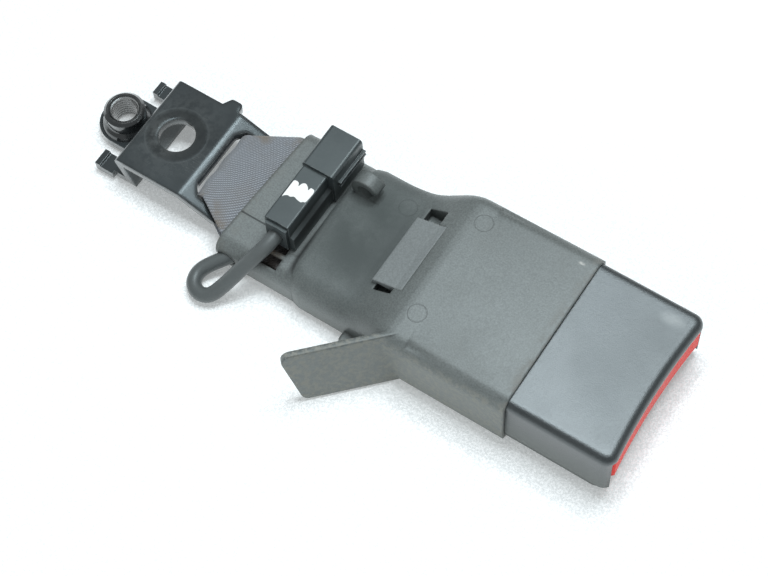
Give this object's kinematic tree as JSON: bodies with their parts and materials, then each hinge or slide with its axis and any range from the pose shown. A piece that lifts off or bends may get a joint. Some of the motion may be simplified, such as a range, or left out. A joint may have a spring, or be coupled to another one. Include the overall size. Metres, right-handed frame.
{
  "type": "seat belt buckle",
  "caption": "Seat belt buckle with red release button in a soft boot, on a short webbing strap with a stamped anchor bracket and a switch connector.",
  "frame": {"origin": "centre of the anchor bolt hole, halfway through the bracket plate", "axes": "+X from the anchor to the release button, +Z out of the bracket's upper face"},
  "size_m": [0.2098, 0.0817, 0.0279],
  "materials": {
    "black_abs": "fine spark grain",
    "red_plastic": "smooth moulded",
    "zinc_steel": "yellowed zinc plate",
    "spring_steel": "drawn wire",
    "boot_plastic": "soft matte moulding",
    "webbing_fabric": "woven polyester",
    "black_paint": "glossy dip paint",
    "connector_plastic": "semi-gloss moulded",
    "tinned_brass": "tinned",
    "cable_jacket": "satin jacket",
    "natural_plastic": "unpigmented acetal",
    "magnet": "sintered, nickel plated"
  },
  "bodies": {
    "buckle": {"buckle_upper_cover": "black_abs", "buckle_lower_cover": "black_abs", "button_springs": "spring_steel", "buckle_frame": "zinc_steel", "latch_pin": "zinc_steel", "latch_spring": "spring_steel", "ejector_spring": "spring_steel", "spring_stop": "natural_plastic", "buckle_switch": "connector_plastic", "boot": "boot_plastic", "boot_bridge": "boot_plastic", "webbing": "webbing_fabric", "connector_housing": "connector_plastic", "connector_terminals": "tinned_brass", "connector_rear_holder": "connector_plastic", "switch_cable": "cable_jacket"},
    "button": {"release_button": "red_plastic"},
    "slider": {"lock_slider": "zinc_steel"},
    "latch": {"latch_plate": "zinc_steel"},
    "ejector": {"ejector": "natural_plastic", "ejector_magnet": "magnet"},
    "bracket": {"anchor_bracket": "black_paint", "anchor_nut": "black_paint"}
  },
  "joints": [
    {"name": "button_press", "type": "slide", "parent": "buckle", "child": "button", "axis": [-1, 0, 0], "range_m": [0, 0.005], "stiffness_N_per_m": 1500, "springref_m": -0.004, "deforming": ["button_springs"]},
    {"name": "lock_slide", "type": "slide", "parent": "buckle", "child": "slider", "axis": [-1, 0, 0], "range_m": [0, 0.005]},
    {"name": "latch_pivot", "type": "hinge", "parent": "buckle", "child": "latch", "pos_m": [0.127, 0, 0.0017], "axis": [0, 1, 0], "range_deg": [0, 12], "stiffness_Nm_per_rad": 0.1, "springref_deg": -17.19},
    {"name": "ejector_slide", "type": "slide", "parent": "buckle", "child": "ejector", "axis": [-1, 0, 0], "range_m": [0, 0.012], "stiffness_N_per_m": 600, "springref_m": -0.004, "deforming": ["ejector_spring"]},
    {"name": "bracket_swing", "type": "hinge", "parent": "buckle", "child": "bracket", "pos_m": [0.0235, 0, -0.0042], "axis": [0, 1, 0], "range_deg": [-8, 30]}
  ],
  "couplings": [
    {"joint": "lock_slide", "follows": "button_press", "ratio": 1}
  ]
}
